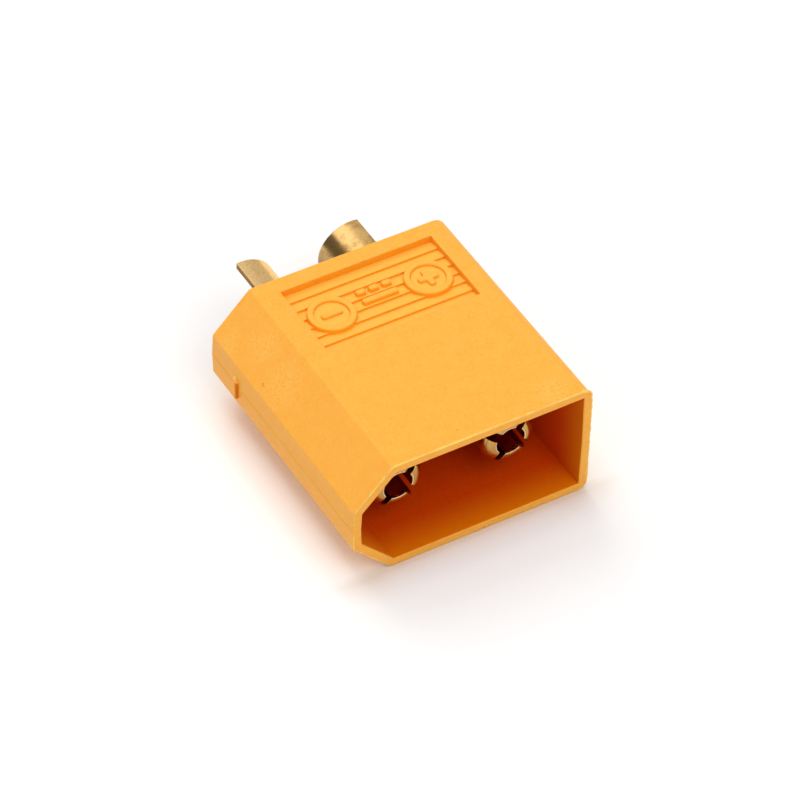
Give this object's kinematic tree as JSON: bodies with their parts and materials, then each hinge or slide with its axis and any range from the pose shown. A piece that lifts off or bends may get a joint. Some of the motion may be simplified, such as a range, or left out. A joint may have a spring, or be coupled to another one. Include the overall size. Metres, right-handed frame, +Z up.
{
  "type": "two-pole power connector plug",
  "caption": "Keyed moulded power connector, pin half: open shroud around slotted bullet pins in front, half-open solder cups behind.",
  "frame": {"origin": "middle of the bounding box in X and Y, on the plane of the underside", "axes": "+X towards the square side and the positive contact, +Y from the mouth towards the solder cups, +Z up from the underside"},
  "size_m": [0.016, 0.0208, 0.0081],
  "materials": {
    "housing_nylon": "fine matte",
    "contact_brass": "gold-flashed, worn"
  },
  "bodies": {
    "root": {"housing": "housing_nylon", "positive_contact": "contact_brass", "negative_contact": "contact_brass"}
  },
  "joints": []
}
